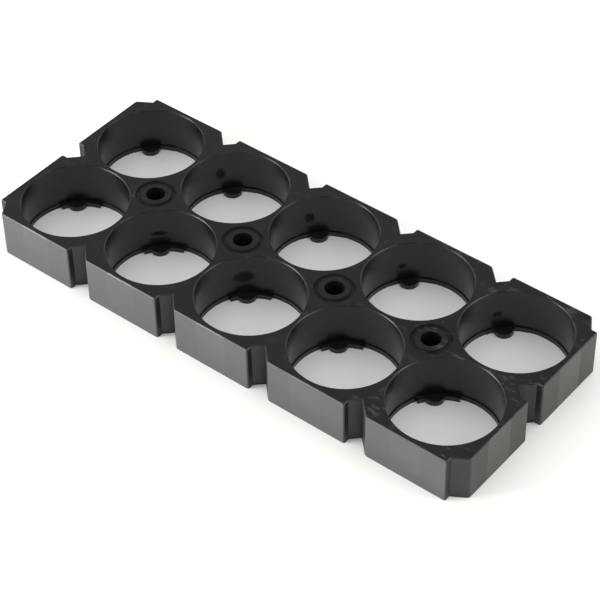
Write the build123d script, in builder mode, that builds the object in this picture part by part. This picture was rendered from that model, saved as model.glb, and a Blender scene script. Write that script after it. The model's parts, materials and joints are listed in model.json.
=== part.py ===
"""Cell holder bracket for ten round cells, two rows of five, moulded in one piece.

The bracket lies flat with +Z up, its underside on z = 0 and its origin at the
middle of the underside. X runs along the rows and Y across them. Each cell drops
in from above and stands on two small tabs at diagonal corners of its bore. Screws
go through the four bosses between the rows.
"""

import os
from math import cos, radians

from build123d import *

# Driving dimensions, in mm

# the cell and its bore
cell_d = 21.0  # nominal diameter of the cell
cell_clear = 0.25  # radial clearance of the cell in its bore
mouth_cut = 0.15  # lead-in chamfer round the mouth of each bore
foot_step = 0.2  # how far the foot of each bore closes in, level with the tabs

# the block
columns = 5  # cells along X
rows = 2  # cells along Y
height = 10.0
web_t = 0.9  # wall between two neighbouring bores at its thinnest
edge_cut = 0.2  # chamfer along the upper outline
corner_cut = 0.25  # chamfer on the two upright corners of each pad

# the flat pads on the free sides of each cell; right and left are as seen from outside,
# and the right end of each pad has a step that a neighbouring bracket can catch on
pad_wall = 1.15  # wall between a bore and the face of its pad
pad_right = 8.9  # from the middle of a pad to its right end
pad_left = 8.7  # from the middle of a pad to its left end
pad_step = 1.35  # how deep the step at the right end goes in

# the tabs that a cell stands on
tab_t = 1.0
lip_reach = 0.7  # how far the curved lip reaches in under the cell's edge
lip_back = 27.0  # degrees that the lip spans on the clockwise side of the nose
lip_ahead = 19.0  # and on the other side
nose_reach = 2.65  # how far the pointed nose would reach in before its tip is rounded
nose_angle = 90.0  # degrees between the sides of the nose
nose_r = 0.5
tab_root = 0.6  # how far a tab is rooted behind the wall of the bore
tab_start = 135.0  # degrees from +X to the first tab

# the screw bosses between the rows
screw_d = 3.5
screw_clear = 0.2  # radial
collar_w = 1.1  # width of the raised collar round the screw hole
groove_w = 1.0  # width of the groove round the collar
groove_depth = 0.35

# Sizes that follow

cell_r = cell_d / 2
bore_r = cell_r + cell_clear
pitch = 2 * bore_r + web_t
pad_face = bore_r + pad_wall
step_foot = pad_face - pad_step
# both sides of a notch slant at 45 degrees and meet at its root
notch_x = (pad_right + step_foot + pitch - pad_left - pad_face) / 2
notch_y = pad_right + step_foot - notch_x
end_notch_y = pad_right + step_foot - pitch / 2  # the notch between two end pads
length = (columns - 1) * pitch + 2 * pad_face
width = (rows - 1) * pitch + 2 * pad_face
end_x = (columns - 1) * pitch / 2  # the last column's cells
end_y = (rows - 1) * pitch / 2  # the back row's cells
row_notches = [(column * pitch - end_x, -end_y) for column in range(columns - 1)]
end_notches = [(end_x, row * pitch - end_y) for row in range(rows - 1)]
front_corner = (end_x, -end_y)
back_corner = (end_x, end_y)
foot_r = bore_r - foot_step
lip_r = cell_r - lip_reach
nose_tip = cell_r - nose_reach
nose_back = (bore_r + lip_r) / 2  # where the nose ends under the lip
root_r = bore_r + tab_root
hole_r = screw_d / 2 + screw_clear
collar_r = hole_r + collar_w
groove_r = collar_r + groove_w


# One tab, drawn with the axis of the cell at the origin and the tab towards +X

with BuildSketch() as tab_form:
    with BuildLine():
        root_arc = CenterArc((0, 0), root_r, -lip_back, lip_back + lip_ahead)
        lip_arc = CenterArc((0, 0), lip_r, -lip_back, lip_back + lip_ahead)
        Line(root_arc @ 0, lip_arc @ 0)
        Line(root_arc @ 1, lip_arc @ 1)
    make_face()
    with BuildLine():
        tip = (nose_tip, 0)
        side = (nose_back - nose_tip) / cos(radians(nose_angle / 2))
        upper_side = PolarLine(tip, side, nose_angle / 2)
        lower_side = PolarLine(tip, side, -nose_angle / 2)
        Line(upper_side @ 1, lower_side @ 1)
    make_face()
    fillet(tab_form.vertices().sort_by(Axis.X)[0], nose_r)


# What is cut from the outline beside the front pad of the cell at the origin: a notch
# where another cell follows, a notch with a step on both sides that is used at the ends
# of the bracket, and a corner at the end of the row

with BuildSketch() as notch_form:
    with BuildLine():
        Polyline(
            (pad_right, -pad_face),
            (pad_right, -step_foot),
            (notch_x, -notch_y),
            (pitch - pad_left, -pad_face),
            close=True,
        )
    make_face()

with BuildSketch() as end_notch_form:
    with BuildLine():
        Polyline(
            (pad_right, -pad_face),
            (pad_right, -step_foot),
            (pitch / 2, -end_notch_y),
            (pitch - pad_right, -step_foot),
            (pitch - pad_right, -pad_face),
            close=True,
        )
    make_face()

with BuildSketch() as corner_form:
    with BuildLine():
        Polyline(
            (pad_right, -pad_face),
            (pad_right, -step_foot),
            (pad_face, -pad_left),
            (pad_face, -pad_face),
            close=True,
        )
    make_face()

# The bracket

with BuildPart() as cell_holder:
    # the outline, which looks the same after half a turn
    with BuildSketch() as outline:
        Rectangle(length, width)
        for turn in (0, 180):
            with Locations(Rotation(0, 0, turn)):
                with Locations(*row_notches):
                    add(notch_form.sketch, mode=Mode.SUBTRACT)
                with Locations(*end_notches):
                    add(end_notch_form.sketch, rotation=90, mode=Mode.SUBTRACT)
                with Locations(front_corner):
                    add(corner_form.sketch, mode=Mode.SUBTRACT)
                with Locations(back_corner):
                    add(corner_form.sketch, rotation=90, mode=Mode.SUBTRACT)
        pad_corners = ShapeList()
        for axis in (Axis.X, Axis.Y):
            pad_corners += outline.vertices().group_by(axis)[0]
            pad_corners += outline.vertices().group_by(axis)[-1]
        chamfer(pad_corners, corner_cut)
    extrude(amount=height)
    chamfer(cell_holder.faces().sort_by(Axis.Z)[-1].edges(), edge_cut)

    # the bores, full size down to the tabs and a little closer below them
    with Locations((0, 0, height)):
        with GridLocations(pitch, pitch, columns, rows):
            CounterSinkHole(bore_r, bore_r + mouth_cut, depth=height - tab_t, counter_sink_angle=90)
            Hole(foot_r)

    # the tabs
    with BuildSketch():
        with GridLocations(pitch, pitch, columns, rows):
            with PolarLocations(0, 2, start_angle=tab_start):
                add(tab_form.sketch)
    extrude(amount=tab_t)

    # the screw bosses
    with BuildSketch(Plane.XY.offset(height)):
        with GridLocations(pitch, pitch, columns - 1, rows - 1):
            Circle(groove_r)
            Circle(collar_r, mode=Mode.SUBTRACT)
    extrude(amount=-groove_depth, mode=Mode.SUBTRACT)
    with Locations((0, 0, height)):
        with GridLocations(pitch, pitch, columns - 1, rows - 1):
            Hole(hole_r)

cell_holder.part.label = "cell_holder"

os.makedirs("parts", exist_ok=True)
export_step(cell_holder.part, "parts/cell_holder.step")

print(f"length {length:.2f} mm, width {width:.2f} mm, height {height:.2f} mm")
print(f"pitch {pitch:.2f} mm, bore {2 * bore_r:.2f} mm, pad width {pad_left + pad_right:.2f} mm")
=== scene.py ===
import json
from math import cos, radians, sin

import bpy
from mathutils import Matrix, Vector


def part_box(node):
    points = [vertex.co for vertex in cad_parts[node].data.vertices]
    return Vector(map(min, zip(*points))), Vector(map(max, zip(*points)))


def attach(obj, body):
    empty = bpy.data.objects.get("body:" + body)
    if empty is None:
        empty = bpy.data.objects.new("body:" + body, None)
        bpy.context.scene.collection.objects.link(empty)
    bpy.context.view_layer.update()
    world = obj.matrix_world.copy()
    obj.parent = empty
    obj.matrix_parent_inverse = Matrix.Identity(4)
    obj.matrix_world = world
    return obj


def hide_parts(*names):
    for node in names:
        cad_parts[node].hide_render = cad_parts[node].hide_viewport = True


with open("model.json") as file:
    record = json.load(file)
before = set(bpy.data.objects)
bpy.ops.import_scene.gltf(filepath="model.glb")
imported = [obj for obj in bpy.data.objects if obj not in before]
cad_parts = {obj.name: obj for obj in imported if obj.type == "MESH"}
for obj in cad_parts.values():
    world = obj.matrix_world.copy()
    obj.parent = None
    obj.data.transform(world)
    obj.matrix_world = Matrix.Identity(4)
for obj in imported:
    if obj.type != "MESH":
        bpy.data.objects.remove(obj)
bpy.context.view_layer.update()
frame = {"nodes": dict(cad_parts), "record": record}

bl_info = {
    "name": "Cell holder bracket",
    "version": (1, 0, 0),
    "blender": (4, 5, 0),
    "location": "3D View > Sidebar > Cell holder",
    "description": "Rounds the tabs of a moulded cell holder, finishes it and sets up a studio",
    "category": "Object",
}

# Sizes of the bracket, in metres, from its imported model

HOLDER_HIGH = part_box("cell_holder")[1]
MOUNTS = {mount["name"]: mount for mount in frame["record"]["mounts"]}
FIRST_CELL = Vector(MOUNTS["cell_bore_a1"]["pos_m"])
NEXT_CELL = Vector(MOUNTS["cell_bore_a2"]["pos_m"])
PITCH = NEXT_CELL.x - FIRST_CELL.x
BORE_R = MOUNTS["cell_bore_a1"]["dims"]["r_mm"] / 1000
SCREW_R = MOUNTS["screws_inner"]["dims"]["hole_r_mm"] / 1000
CELL_NAMES = [f"cell_bore_{row}{column}" for row in "ab" for column in range(1, 6)]
TAB_TOP = FIRST_CELL.z - MOUNTS["cell_bore_a1"]["dims"]["length_mm"] / 2000
TOP_Z = HOLDER_HIGH.z
MM = 0.001
CORNER_CUT = 0.25 * MM  # the small cuts on the upright corners of the pads
WALL_BAND = 0.3 * MM  # how near to a bore or a hole a face counts as its wall

# How the tabs are cut and joined

TAB_SIDE = Vector((-1, 1, 0)).normalized()  # from a cell's axis to one of its two tabs
CUTTER_STEPS, NOSE_STEPS = 92, 40  # flat steps round each tool
CUTTER_START = 2 * MM  # a cutter's straight side, from the cell's axis towards the tab
CUTTER_ABOVE, CUTTER_BELOW = 0.1 * MM, 1.0 * MM  # how far a cutter passes the tab
NOSE_LOW, NOSE_ABOVE = 0.02 * MM, 0.03 * MM  # a nose's foot, and its top above the tab
MERGE_DISTANCE = 0.001 * MM
SMOOTH_ANGLE = radians(25)

# Shares of each effect in the plastic's colour, and depth of the dimples in grain depths

SCUFF_SHARE, RUB_SHARE, DUST_SHARE, MARK_SHARE = 0.45, 0.4, 0.2, 0.9
# The near-black colour inside the dimples is painted shade.
MARK_PAINTED_SHADE = (0.001, 0.001, 0.001, 1.0)
MARK_ROUGHNESS = 0.9
MARK_DEPTH = 30.0
FLOW_LOW, FLOW_HIGH = 0.30, 0.70  # the part of the flow noise that shows
FLOW_DARK, FLOW_PALE = 0.90, 1.10
ROUGHNESS_SPREAD = 0.04

# Lights: place and side of each square, and the heights between which reflections darken

KEY_PLACE, KEY_SIDE = (-0.25, -0.27, 0.15), 0.20
FILL_PLACE, FILL_SIDE = (0.55, 0.22, 0.28), 0.35
SKY_LOW, SKY_HIGH, SKY_DARK = 0.32, 0.58, 0.06

# Soft oval dimples on the bore walls, plain and without lettering, with a bump and painted
# near-black as painted shade inside them: the cell, the direction from its axis in degrees from +X,
# the height, and half the width and half the height
WALL_MARKS = (
    ("cell_bore_b2", 147.0, 5.0 * MM, 0.9 * MM, 1.3 * MM),
    ("cell_bore_b3", 144.0, 4.8 * MM, 1.0 * MM, 1.1 * MM),
    ("cell_bore_b4", 142.0, 4.2 * MM, 0.8 * MM, 0.5 * MM),
    ("cell_bore_b5", 142.0, 4.3 * MM, 0.8 * MM, 0.6 * MM),
    ("cell_bore_a2", 135.0, 4.0 * MM, 1.5 * MM, 0.4 * MM),
    ("cell_bore_a3", 137.0, 4.9 * MM, 2.0 * MM, 1.3 * MM),
)


# Sizes and colours that a user would change


def colour(label, text, default):
    """A colour setting."""
    return bpy.props.FloatVectorProperty(
        name=label, description=text, subtype="COLOR", size=3, min=0, max=1, default=default)


def length(label, text, default):
    """A size setting of up to 20 mm."""
    return bpy.props.FloatProperty(
        name=label, description=text, subtype="DISTANCE", unit="LENGTH",
        min=0.00001, max=0.02, precision=5, default=default)


class HolderShape(bpy.types.PropertyGroup):
    """Form of the tabs that the cells stand on"""

    nose_radius: length("Nose radius", "Radius of the rounded nose of each tab", 1.9 * MM)
    nose_reach: length("Nose reach", "How far a nose reaches in from the bore wall", 2.4 * MM)
    lip_reach: length("Lip reach", "Reach that longer lips of the inner tabs are cut back to",
                      1.0 * MM)
    foot_reach: length("Foot reach", "Reach that the outer tabs are cut back to", 0.3 * MM)


class HolderFinish(bpy.types.PropertyGroup):
    """Finish of the moulded bracket, whose face colours paint light and shade onto one black plastic
    """

    # These face colours are lit and shaded copies of one black plastic: the pale row pads are
    # painted light, and the darker tops, end pads, cuts, walls and tabs are painted shade.
    top: colour("Top", "Colour of the faces that look up or down", (0.0085, 0.0086, 0.0073))
    pads_painted_light: colour("Row pads", "Colour of the polished pads along the rows", (0.093, 0.093, 0.0935))
    end_pads_painted_shade: colour("End pads", "Colour of the polished pads at the ends",
                     (0.030, 0.0275, 0.0215))
    cuts_painted_shade: colour("Cuts", "Colour of the slanted faces between the pads", (0.016, 0.016, 0.016))
    walls_painted_shade: colour("Walls", "Colour of the bore walls", (0.0065, 0.0067, 0.0058))
    tabs: colour("Tabs", "Colour of the tabs that the cells stand on", (0.014, 0.011, 0.009))
    rubbed: colour("Rubbed", "Colour of edges that have been rubbed pale", (0.08, 0.079, 0.077))
    scuffed: colour("Scuffed", "Colour of the faint scuffs", (0.14, 0.13, 0.125))
    dust: colour("Dust", "Colour of the dust on the upward faces", (0.30, 0.29, 0.27))
    roughness: bpy.props.FloatProperty(
        name="Roughness", description="Roughness of the outer faces",
        subtype="FACTOR", min=0, max=1, default=0.46)
    wall_roughness: bpy.props.FloatProperty(
        name="Wall roughness", description="Roughness of the walls of the bores",
        subtype="FACTOR", min=0, max=1, default=0.30)
    grain: bpy.props.FloatProperty(
        name="Grain", description="Size of the fine moulded grain",
        subtype="DISTANCE", unit="LENGTH", min=0.00001, max=0.01, default=0.00045)
    grain_depth: bpy.props.FloatProperty(
        name="Grain depth", description="Depth of the fine moulded grain",
        subtype="DISTANCE", unit="LENGTH", min=0, max=0.001, default=0.000008)


class HolderStage(bpy.types.PropertyGroup):
    """Floor, lights and camera"""

    floor_size: bpy.props.FloatProperty(
        name="Floor", description="Side of the square floor",
        subtype="DISTANCE", unit="LENGTH", min=0.5, max=20, default=3.0)
    floor_color: bpy.props.FloatVectorProperty(
        name="Floor colour", description="Colour of the floor",
        subtype="COLOR", size=3, min=0, max=1, default=(0.80, 0.79, 0.775))
    seen_color: bpy.props.FloatVectorProperty(
        name="Floor as seen", description="Colour of the floor to the camera and in reflections",
        subtype="COLOR", size=3, min=0, max=1, default=(1.0, 0.98, 0.955))
    azimuth: bpy.props.FloatProperty(
        name="Azimuth", description="Turn of the camera from the front towards the right end",
        subtype="ANGLE", unit="ROTATION", default=radians(39.46))
    elevation: bpy.props.FloatProperty(
        name="Elevation", description="Height of the camera above the horizon",
        subtype="ANGLE", unit="ROTATION", default=radians(43.07))
    roll: bpy.props.FloatProperty(
        name="Roll", description="Turn of the camera about its own axis",
        subtype="ANGLE", unit="ROTATION", default=radians(-1.18))
    distance: bpy.props.FloatProperty(
        name="Distance", description="Distance from the camera to the point it looks at",
        subtype="DISTANCE", unit="LENGTH", min=0.05, max=5, default=0.4023)
    target: bpy.props.FloatVectorProperty(
        name="Target", description="Point that the camera looks at",
        subtype="TRANSLATION", unit="LENGTH", size=3, default=(0.00476, -0.00244, 0.005))
    lens: bpy.props.FloatProperty(
        name="Lens", description="Focal length in millimetres on a 36 mm sensor",
        min=10, max=500, default=126.99)
    key_power: bpy.props.FloatProperty(
        name="Key light", description="Power of the large soft light at the front left",
        unit="POWER", min=0, max=1000, default=1.2)
    fill_power: bpy.props.FloatProperty(
        name="Fill light", description="Power of the soft light at the right",
        unit="POWER", min=0, max=1000, default=1.2)
    world_level: bpy.props.FloatProperty(
        name="Surroundings", description="Level of the light from all round",
        min=0, max=5, default=1.02)


# Helpers for node trees


class Tree:
    """Adds nodes to one node tree and links them, left to right."""

    def __init__(self, node_tree):
        self.tree = node_tree
        self.column = 0

    def node(self, kind, inputs=None, **settings):
        made = self.tree.nodes.new(kind)
        made.location = (self.column * 190, 0)
        self.column += 1
        for name, value in settings.items():
            setattr(made, name, value)
        for name, value in (inputs or {}).items():
            if isinstance(value, bpy.types.NodeSocket):
                self.tree.links.new(value, made.inputs[name])
            else:
                made.inputs[name].default_value = value
        return made

    def group(self, node_tree, inputs):
        return self.node("ShaderNodeGroup", inputs, node_tree=node_tree)

    def math(self, operation, first, second=0.0, third=0.0, clamp=False):
        made = self.node("ShaderNodeMath", {0: first, 1: second, 2: third},
                         operation=operation, use_clamp=clamp)
        return made.outputs[0]

    def smooth(self, value, low, high, out_low=0.0, out_high=1.0):
        made = self.node("ShaderNodeMapRange",
                         {"Value": value, "From Min": low, "From Max": high,
                          "To Min": out_low, "To Max": out_high},
                         interpolation_type="SMOOTHSTEP", clamp=True)
        return made.outputs["Result"]

    def noise(self, vector, scale, detail=2.0, roughness=0.5, distortion=0.0):
        made = self.node("ShaderNodeTexNoise",
                         {"Vector": vector, "Scale": scale, "Detail": detail,
                          "Roughness": roughness, "Distortion": distortion})
        return made.outputs["Fac"]

    def mix(self, factor, first, second):
        made = self.node("ShaderNodeMix", {0: factor, 6: first, 7: second},
                         data_type="RGBA")
        return made.outputs[2]

    def blend(self, factor, first, second):
        made = self.node("ShaderNodeMix", {0: factor, 2: first, 3: second},
                         data_type="FLOAT")
        return made.outputs[0]

    def seen_ray(self):
        """One for the rays that look at a thing, nothing for those that light one."""
        path = self.node("ShaderNodeLightPath")
        seen = self.math("MAXIMUM", path.outputs["Is Camera Ray"], path.outputs["Is Glossy Ray"])
        return self.math("MAXIMUM", seen, path.outputs["Is Transmission Ray"])


FLOAT, VECTOR = "NodeSocketFloat", "NodeSocketVector"


def new_group(name, inputs, outputs):
    """A shader node group. An input is (name, type, default) and an output is (name, type)."""
    group = bpy.data.node_groups.new(name, "ShaderNodeTree")
    for label, kind, default in inputs:
        socket = group.interface.new_socket(name=label, in_out="INPUT", socket_type=kind)
        if default is not None:
            socket.default_value = default
    for label, kind in outputs:
        group.interface.new_socket(name=label, in_out="OUTPUT", socket_type=kind)
    tree = Tree(group)
    start = tree.node("NodeGroupInput")
    return group, tree, start


def cell_field_group():
    """How far a point is from the axes of the nearest bore and the nearest boss."""
    group, tree, start = new_group(
        "cell_field",
        [("Position", VECTOR, None), ("Pitch", FLOAT, PITCH)],
        [("Bore Radius", FLOAT), ("Boss Radius", FLOAT)])
    pitch = start.outputs["Pitch"]
    half = tree.math("MULTIPLY", pitch, 0.5)
    less_half = tree.math("MULTIPLY", pitch, -0.5)
    place = tree.node("ShaderNodeSeparateXYZ", {0: start.outputs["Position"]})
    across, along = place.outputs[1], place.outputs[0]
    bore_x = tree.math("WRAP", along, half, less_half)
    bore_y = tree.math("SUBTRACT", tree.math("WRAP", across, pitch, 0.0), half)
    boss_x = tree.math("SUBTRACT", tree.math("WRAP", along, pitch, 0.0), half)
    from_bore = tree.node("ShaderNodeCombineXYZ", {0: bore_x, 1: bore_y}).outputs[0]
    bore_r = tree.node("ShaderNodeVectorMath", {0: from_bore}, operation="LENGTH")
    from_boss = tree.node("ShaderNodeCombineXYZ", {0: boss_x, 1: across}).outputs[0]
    boss_r = tree.node("ShaderNodeVectorMath", {0: from_boss}, operation="LENGTH")
    tree.node("NodeGroupOutput", {"Bore Radius": bore_r.outputs["Value"],
                                  "Boss Radius": boss_r.outputs["Value"]})
    return group


def moulded_grain_group():
    """Fine grain that a mould leaves, with faint long flow marks under it."""
    group, tree, start = new_group(
        "moulded_grain",
        [("Position", VECTOR, None), ("Grain Scale", FLOAT, 3000.0), ("Flow Scale", FLOAT, 60.0)],
        [("Grain", FLOAT), ("Flow", FLOAT)])
    where = start.outputs["Position"]
    fine = tree.noise(where, start.outputs["Grain Scale"], detail=3.0, roughness=0.6)
    stretched = tree.node("ShaderNodeMapping", {"Vector": where, "Scale": (0.35, 1.0, 1.0)})
    flow = tree.noise(stretched.outputs[0], start.outputs["Flow Scale"],
                      detail=4.0, roughness=0.55, distortion=0.8)
    tree.node("NodeGroupOutput", {"Grain": fine, "Flow": flow})
    return group


def painted_light_regions_group():
    """Masks of the kinds of face, which get the painted light and shade: up or down, row pads, end
    pads, bore walls and tabs.
    """
    group, tree, start = new_group(
        "painted_light_regions",
        [("Position", VECTOR, None), ("Normal", VECTOR, None), ("Bore Radius", FLOAT, 0.0),
         ("Boss Radius", FLOAT, 0.0)],
        [("Flat", FLOAT), ("Row Pads", FLOAT), ("End Pads", FLOAT), ("Walls", FLOAT),
         ("Tabs", FLOAT)])
    place = tree.node("ShaderNodeSeparateXYZ", {0: start.outputs["Position"]})
    away_x = tree.math("ABSOLUTE", place.outputs[0])
    away_y = tree.math("ABSOLUTE", place.outputs[1])
    facing = tree.math("ABSOLUTE",
                       tree.node("ShaderNodeSeparateXYZ", {0: start.outputs["Normal"]}).outputs[2])
    flat = tree.smooth(facing, 0.75, 0.95)
    upright = tree.math("SUBTRACT", 1.0, flat)
    face_x = HOLDER_HIGH.x - CORNER_CUT / 2
    face_y = HOLDER_HIGH.y - CORNER_CUT / 2
    end_pads_painted_shade = tree.math("MULTIPLY", upright, tree.math("GREATER_THAN", away_x, face_x))
    row_pads = tree.math("MULTIPLY", upright, tree.math("GREATER_THAN", away_y, face_y))
    off_wall = tree.math("SUBTRACT", start.outputs["Bore Radius"], BORE_R)
    bore = tree.math("LESS_THAN", off_wall, WALL_BAND)
    screw = tree.math("LESS_THAN", start.outputs["Boss Radius"], SCREW_R + WALL_BAND)
    walls_painted_shade = tree.math("MULTIPLY", upright, tree.math("MAXIMUM", bore, screw))
    tabs = tree.math("LESS_THAN", off_wall, -WALL_BAND)
    tree.node("NodeGroupOutput", {"Flat": flat, "Row Pads": row_pads, "End Pads": end_pads_painted_shade,
                                  "Walls": walls_painted_shade, "Tabs": tabs})
    return group


def wall_mark_group():
    """A soft oval mask round one point."""
    group, tree, start = new_group(
        "wall_mark",
        [("Position", VECTOR, None), ("Centre", VECTOR, None), ("Half Width", FLOAT, 1.0),
         ("Half Height", FLOAT, 1.0)],
        [("Mark", FLOAT)])
    offset = tree.node("ShaderNodeVectorMath",
                       {0: start.outputs["Position"], 1: start.outputs["Centre"]},
                       operation="SUBTRACT")
    size = tree.node("ShaderNodeCombineXYZ", {0: start.outputs["Half Width"],
                                              1: start.outputs["Half Width"],
                                              2: start.outputs["Half Height"]})
    scaled = tree.node("ShaderNodeVectorMath", {0: offset.outputs[0], 1: size.outputs[0]},
                       operation="DIVIDE")
    away = tree.node("ShaderNodeVectorMath", {0: scaled.outputs[0]}, operation="LENGTH")
    tree.node("NodeGroupOutput", {"Mark": tree.smooth(away.outputs["Value"], 1.3, 0.5)})
    return group


def edge_rub_group():
    """Masks of the slanted edge faces and of faint scuffs on the top, broken up by noise."""
    group, tree, start = new_group(
        "edge_rub",
        [("Position", VECTOR, None), ("Normal", VECTOR, None), ("Top", FLOAT, TOP_Z),
         ("Reach", FLOAT, 0.4 * MM)],
        [("Rub", FLOAT), ("Up", FLOAT), ("Scuff", FLOAT)])
    where = start.outputs["Position"]
    facing = tree.node("ShaderNodeSeparateXYZ", {0: start.outputs["Normal"]}).outputs[2]
    place = tree.node("ShaderNodeSeparateXYZ", {0: where})
    low = tree.math("SUBTRACT", start.outputs["Top"], start.outputs["Reach"])
    near_top = tree.smooth(place.outputs[2], low, start.outputs["Top"])
    slant = tree.math("MULTIPLY",
                      tree.smooth(facing, 0.30, 0.55),
                      tree.smooth(facing, 0.98, 0.86))
    patchy = tree.smooth(tree.noise(where, 420.0, detail=4.0, roughness=0.7), 0.42, 0.70)
    rub = tree.math("MULTIPLY", tree.math("MULTIPLY", slant, near_top), patchy)
    up = tree.smooth(facing, 0.6, 0.95)
    streaks = tree.node("ShaderNodeMapping", {"Vector": where, "Scale": (1.0, 2.2, 1.0)})
    blots = tree.smooth(
        tree.noise(streaks.outputs[0], 330.0, detail=5.0, roughness=0.7), 0.53, 0.72)
    toward_end = tree.smooth(
        place.outputs[0], 0.1 * HOLDER_HIGH.x, 0.9 * HOLDER_HIGH.x, 0.15, 1.0)
    scuff = tree.math("MULTIPLY", tree.math("MULTIPLY", blots, toward_end), up)
    tree.node("NodeGroupOutput", {"Rub": rub, "Up": up, "Scuff": scuff})
    return group


def dust_group():
    """Sparse pale specks, kept to faces that look up."""
    group, tree, start = new_group(
        "dust_specks",
        [("Position", VECTOR, None), ("Up", FLOAT, 1.0), ("Scale", FLOAT, 900.0)],
        [("Dust", FLOAT)])
    cells = tree.node("ShaderNodeTexVoronoi",
                      {"Vector": start.outputs["Position"], "Scale": start.outputs["Scale"],
                       "Randomness": 1.0})
    speck = tree.smooth(cells.outputs["Distance"], 0.22, 0.05)
    drift = tree.smooth(tree.noise(start.outputs["Position"], 160.0, detail=3.0), 0.50, 0.72)
    dust = tree.math("MULTIPLY", tree.math("MULTIPLY", speck, drift), start.outputs["Up"])
    tree.node("NodeGroupOutput", {"Dust": dust})
    return group


def holder_material(finish):
    """Black plastic as moulded, with painted light and shade: row pads painted pale, tops, end pads,
    cuts, bore walls and tabs painted dark; faint wear and dust.
    """
    material = bpy.data.materials.new("holder_plastic_moulded")
    material.use_nodes = True
    material.node_tree.nodes.clear()
    tree = Tree(material.node_tree)
    coords = tree.node("ShaderNodeTexCoord")
    where, normal = coords.outputs["Object"], coords.outputs["Normal"]

    field = tree.group(cell_field_group(), {"Position": where})
    bore_r = field.outputs["Bore Radius"]
    grain = tree.group(moulded_grain_group(), {"Position": where, "Grain Scale": 1 / finish.grain})
    rub = tree.group(edge_rub_group(), {"Position": where, "Normal": normal})
    dust = tree.group(dust_group(), {"Position": where, "Up": rub.outputs["Up"]})
    light_and_shade_region = tree.group(painted_light_regions_group(),
                        {"Position": where, "Normal": normal, "Bore Radius": bore_r,
                         "Boss Radius": field.outputs["Boss Radius"]})

    # colour: each kind of face gets its own tone, painted light and shade on one black plastic
    base = tree.mix(light_and_shade_region.outputs["Flat"], (*finish.cuts_painted_shade, 1.0), (*finish.top, 1.0))
    base = tree.mix(light_and_shade_region.outputs["Walls"], base, (*finish.walls_painted_shade, 1.0))
    base = tree.mix(light_and_shade_region.outputs["Tabs"], base, (*finish.tabs, 1.0))
    base = tree.mix(light_and_shade_region.outputs["Row Pads"], base, (*finish.pads_painted_light, 1.0))
    base = tree.mix(light_and_shade_region.outputs["End Pads"], base, (*finish.end_pads_painted_shade, 1.0))
    flow = grain.outputs["Flow"]
    shade = tree.smooth(flow, FLOW_LOW, FLOW_HIGH, FLOW_DARK, FLOW_PALE)
    grey = tree.node("ShaderNodeCombineColor", {0: shade, 1: shade, 2: shade})
    plain = tree.node("ShaderNodeMix", {0: 1.0, 6: base, 7: grey.outputs[0]}, data_type="RGBA",
                      blend_type="MULTIPLY").outputs[2]
    scuffed = tree.mix(tree.math("MULTIPLY", rub.outputs["Scuff"], SCUFF_SHARE), plain,
                       (*finish.scuffed, 1.0))
    rubbed = tree.mix(tree.math("MULTIPLY", rub.outputs["Rub"], RUB_SHARE), scuffed,
                      (*finish.rubbed, 1.0))
    dusty = tree.mix(tree.math("MULTIPLY", dust.outputs["Dust"], DUST_SHARE), rubbed,
                     (*finish.dust, 1.0))

    # dimples on the walls: a bump, with painted shade darkening each one
    mark_group = wall_mark_group()
    marked = 0.0
    for cell, direction, height, half_width, half_height in WALL_MARKS:
        axis = Vector(MOUNTS[cell]["pos_m"])
        centre = (axis.x + BORE_R * cos(radians(direction)),
                  axis.y + BORE_R * sin(radians(direction)), height)
        mark = tree.group(mark_group, {"Position": where, "Centre": centre,
                                       "Half Width": half_width, "Half Height": half_height})
        marked = tree.math("MAXIMUM", mark.outputs["Mark"], marked)
    colour_with_dimple_shade = tree.mix(tree.math("MULTIPLY", marked, MARK_SHARE), dusty, MARK_PAINTED_SHADE)

    # roughness
    face_rough = tree.smooth(flow, FLOW_LOW, FLOW_HIGH, finish.roughness - ROUGHNESS_SPREAD,
                             finish.roughness + ROUGHNESS_SPREAD)
    rough = tree.blend(light_and_shade_region.outputs["Walls"], face_rough, finish.wall_roughness)
    rough = tree.math("ADD", rough, tree.math("MULTIPLY", dust.outputs["Dust"], DUST_SHARE),
                      clamp=True)
    rough = tree.blend(marked, rough, MARK_ROUGHNESS)

    # relief
    relief = tree.math("SUBTRACT", grain.outputs["Grain"],
                       tree.math("MULTIPLY", marked, MARK_DEPTH))
    bump = tree.node("ShaderNodeBump", {"Strength": 1.0, "Distance": finish.grain_depth,
                                        "Height": relief})

    shader = tree.node("ShaderNodeBsdfPrincipled",
                       {"Base Color": colour_with_dimple_shade, "Roughness": rough, "Normal": bump.outputs[0],
                        "Metallic": 0.0, "IOR": 1.5})
    tree.node("ShaderNodeOutputMaterial", {"Surface": shader.outputs[0]})
    return material


# The bracket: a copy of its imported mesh, whose tabs get rounded noses and lose the outer lips


def make_active(thing):
    """Select this object alone and make it the active one."""
    bpy.ops.object.select_all(action="DESELECT")
    thing.select_set(True)
    bpy.context.view_layer.objects.active = thing


def empty_mesh(name):
    """A new object without faces, active and selected."""
    made = bpy.data.objects.new(name, bpy.data.meshes.new(name))
    bpy.context.scene.collection.objects.link(made)
    make_active(made)
    return made


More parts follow.
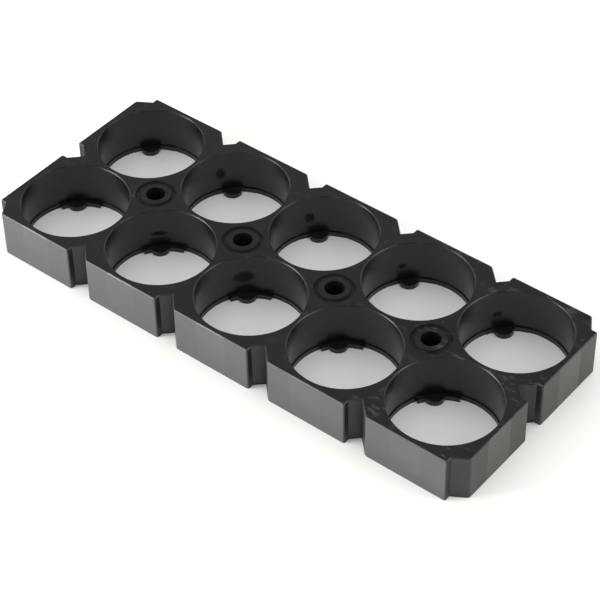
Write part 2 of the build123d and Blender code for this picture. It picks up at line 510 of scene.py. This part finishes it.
def tab_cutters(shape):
    """Part cylinders that cut each tab back: inner ones to their lips, outer ones to the foot."""
    cutters = empty_mesh("tab_cutters")
    depth = TAB_TOP + CUTTER_ABOVE + CUTTER_BELOW
    bpy.ops.object.mode_set(mode="EDIT")
    for name in CELL_NAMES:
        axis = Vector(MOUNTS[name]["pos_m"])
        for side in (TAB_SIDE, -TAB_SIDE):
            inner = side.y * axis.y < 0
            radius = BORE_R - (shape.lip_reach if inner else shape.foot_reach)
            bpy.ops.mesh.select_all(action="DESELECT")
            bpy.ops.mesh.primitive_cylinder_add(
                vertices=CUTTER_STEPS, radius=radius, depth=depth,
                location=(axis.x, axis.y, TAB_TOP + CUTTER_ABOVE - depth / 2))
            bpy.ops.mesh.bisect(plane_co=Vector((axis.x, axis.y, 0)) + side * CUTTER_START,
                                plane_no=side, use_fill=True, clear_inner=True)
    bpy.ops.object.mode_set(mode="OBJECT")
    return cutters


def tab_noses(shape):
    """The rounded nose of every tab."""
    noses = empty_mesh("tab_noses")
    low, high = NOSE_LOW, TAB_TOP + NOSE_ABOVE
    bpy.ops.object.mode_set(mode="EDIT")
    for name in CELL_NAMES:
        axis = Vector(MOUNTS[name]["pos_m"])
        for side in (TAB_SIDE, -TAB_SIDE):
            centre = axis + side * (BORE_R - shape.nose_reach + shape.nose_radius)
            bpy.ops.mesh.select_all(action="DESELECT")
            bpy.ops.mesh.primitive_cylinder_add(
                vertices=NOSE_STEPS, radius=shape.nose_radius, depth=high - low,
                location=(centre.x, centre.y, (low + high) / 2))
    bpy.ops.object.mode_set(mode="OBJECT")
    return noses


def combine(body, tool, operation):
    """Join the tool to the body or cut it away, and delete the tool."""
    make_active(body)
    bpy.ops.object.modifier_add(type="BOOLEAN")
    boolean = body.modifiers[-1]
    boolean.operation = operation
    boolean.solver = "EXACT"
    boolean.object = tool
    bpy.ops.object.modifier_apply(modifier=boolean.name)
    bpy.data.objects.remove(tool)


class CELLHOLDER_OT_shape_holder(bpy.types.Operator):
    """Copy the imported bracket, round the noses of its tabs and keep lips on the inner ones only"""

    bl_idname = "cellholder.shape_holder"
    bl_label = "Shape the bracket"

    def execute(self, context):
        shape = context.scene.holder_shape
        bracket = bpy.data.objects.new("bracket", frame["nodes"]["cell_holder"].data.copy())
        context.scene.collection.objects.link(bracket)
        make_active(bracket)
        bpy.ops.object.mode_set(mode="EDIT")
        bpy.ops.mesh.select_all(action="SELECT")
        bpy.ops.mesh.remove_doubles(threshold=MERGE_DISTANCE)
        bpy.ops.object.mode_set(mode="OBJECT")
        bpy.ops.mesh.customdata_custom_splitnormals_clear()
        combine(bracket, tab_cutters(shape), "DIFFERENCE")
        combine(bracket, tab_noses(shape), "UNION")
        bpy.ops.object.shade_smooth_by_angle(angle=SMOOTH_ANGLE)
        bpy.ops.object.modifier_add(type="WEIGHTED_NORMAL")
        weighted = bracket.modifiers[-1]
        weighted.keep_sharp = True
        bpy.ops.object.modifier_apply(modifier=weighted.name)
        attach(bracket, "root")
        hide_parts("cell_holder")
        return {"FINISHED"}


class CELLHOLDER_OT_finish_holder(bpy.types.Operator):
    """Give the bracket its moulded black plastic, with painted light and shade in its face colours
    """

    bl_idname = "cellholder.finish_holder"
    bl_label = "Finish the bracket"

    def execute(self, context):
        material = holder_material(context.scene.holder_finish)
        for piece in (bpy.data.objects["bracket"], frame["nodes"]["cell_holder"]):
            for slot in piece.material_slots:
                slot.material = material
        return {"FINISHED"}


# Floor, lights and camera


def floor_material(color, seen_color):
    """Pale floor that keeps the bracket's shadow and is white to the camera and in reflections."""
    material = bpy.data.materials.new("studio_floor")
    material.use_nodes = True
    material.node_tree.nodes.clear()
    tree = Tree(material.node_tree)
    shown = tree.mix(tree.seen_ray(), (*color, 1.0), (*seen_color, 1.0))
    diffuse = tree.node("ShaderNodeBsdfDiffuse", {"Color": shown})
    tree.node("ShaderNodeOutputMaterial", {"Surface": diffuse.outputs[0]})
    return material


def studio_world(level):
    """Even light from all round: pale near the horizon, dark overhead in reflections."""
    world = bpy.data.worlds.new("studio_world")
    bpy.context.scene.world = world
    world.use_nodes = True
    world.node_tree.nodes.clear()
    tree = Tree(world.node_tree)
    direction = tree.node("ShaderNodeTexCoord").outputs["Generated"]
    upward = tree.node("ShaderNodeSeparateXYZ", {0: direction}).outputs[2]
    seen_level = tree.smooth(upward, SKY_LOW, SKY_HIGH, 1.0, SKY_DARK)
    strength = tree.blend(tree.seen_ray(), level, seen_level)
    background = tree.node("ShaderNodeBackground", {"Color": (1.0, 1.0, 1.0, 1.0),
                                                    "Strength": strength})
    tree.node("ShaderNodeOutputWorld", {"Surface": background.outputs[0]})


def soft_light(name, place, size, power):
    """A square soft light that faces the bracket."""
    light = bpy.data.lights.new(name, "AREA")
    light.shape = "SQUARE"
    light.size = size
    light.energy = power
    lamp = bpy.data.objects.new(name, light)
    lamp.location = place
    lamp.rotation_euler = (-Vector(place)).to_track_quat("-Z", "Y").to_euler()
    bpy.context.scene.collection.objects.link(lamp)


class CELLHOLDER_OT_set_stage(bpy.types.Operator):
    """Make the floor, the lights and the camera"""

    bl_idname = "cellholder.set_stage"
    bl_label = "Set the stage"

    def execute(self, context):
        stage = context.scene.holder_stage
        bpy.ops.object.select_all(action="DESELECT")
        bpy.ops.mesh.primitive_plane_add(size=stage.floor_size, location=(0, 0, 0))
        floor = context.active_object
        floor.name = "studio_floor"
        floor.data.materials.append(floor_material(stage.floor_color, stage.seen_color))
        bpy.ops.object.select_all(action="DESELECT")

        studio_world(stage.world_level)
        soft_light("key_light", KEY_PLACE, KEY_SIDE, stage.key_power)
        soft_light("fill_light", FILL_PLACE, FILL_SIDE, stage.fill_power)

        back = Vector((sin(stage.azimuth) * cos(stage.elevation),
                       -cos(stage.azimuth) * cos(stage.elevation),
                       sin(stage.elevation)))
        lens = bpy.data.cameras.new("studio_camera")
        lens.lens = stage.lens
        lens.sensor_width = 36.0
        lens.clip_start, lens.clip_end = 0.01, 20.0
        camera = bpy.data.objects.new("studio_camera", lens)
        context.scene.collection.objects.link(camera)
        turn = (-back).to_track_quat("-Z", "Y").to_matrix().to_4x4()
        camera.matrix_world = (Matrix.Translation(Vector(stage.target) + back * stage.distance)
                               @ turn @ Matrix.Rotation(stage.roll, 4, "Z"))
        context.scene.camera = camera
        context.scene.view_settings.view_transform = "Standard"
        return {"FINISHED"}


class CELLHOLDER_PT_panel(bpy.types.Panel):
    """Lists the bracket's steps with their sizes and colours"""

    bl_idname = "CELLHOLDER_PT_panel"
    bl_label = "Cell holder"
    bl_space_type = "VIEW_3D"
    bl_region_type = "UI"
    bl_category = "Cell holder"

    def draw(self, context):
        for title, settings, operator in (
                ("Tabs", context.scene.holder_shape, CELLHOLDER_OT_shape_holder),
                ("Finish", context.scene.holder_finish, CELLHOLDER_OT_finish_holder),
                ("Stage", context.scene.holder_stage, CELLHOLDER_OT_set_stage)):
            box = self.layout.box()
            box.label(text=title)
            for name in settings.__annotations__:
                box.prop(settings, name)
            box.operator(operator.bl_idname)


CLASSES = (
    HolderShape,
    HolderFinish,
    HolderStage,
    CELLHOLDER_OT_shape_holder,
    CELLHOLDER_OT_finish_holder,
    CELLHOLDER_OT_set_stage,
    CELLHOLDER_PT_panel,
)


def register():
    for made in CLASSES:
        bpy.utils.register_class(made)
    bpy.types.Scene.holder_shape = bpy.props.PointerProperty(type=HolderShape)
    bpy.types.Scene.holder_finish = bpy.props.PointerProperty(type=HolderFinish)
    bpy.types.Scene.holder_stage = bpy.props.PointerProperty(type=HolderStage)


def unregister():
    del bpy.types.Scene.holder_stage
    del bpy.types.Scene.holder_finish
    del bpy.types.Scene.holder_shape
    for made in reversed(CLASSES):
        bpy.utils.unregister_class(made)


def main():
    register()
    bpy.ops.cellholder.shape_holder()
    bpy.ops.cellholder.finish_holder()
    bpy.ops.cellholder.set_stage()


if __name__ == "__main__":
    main()
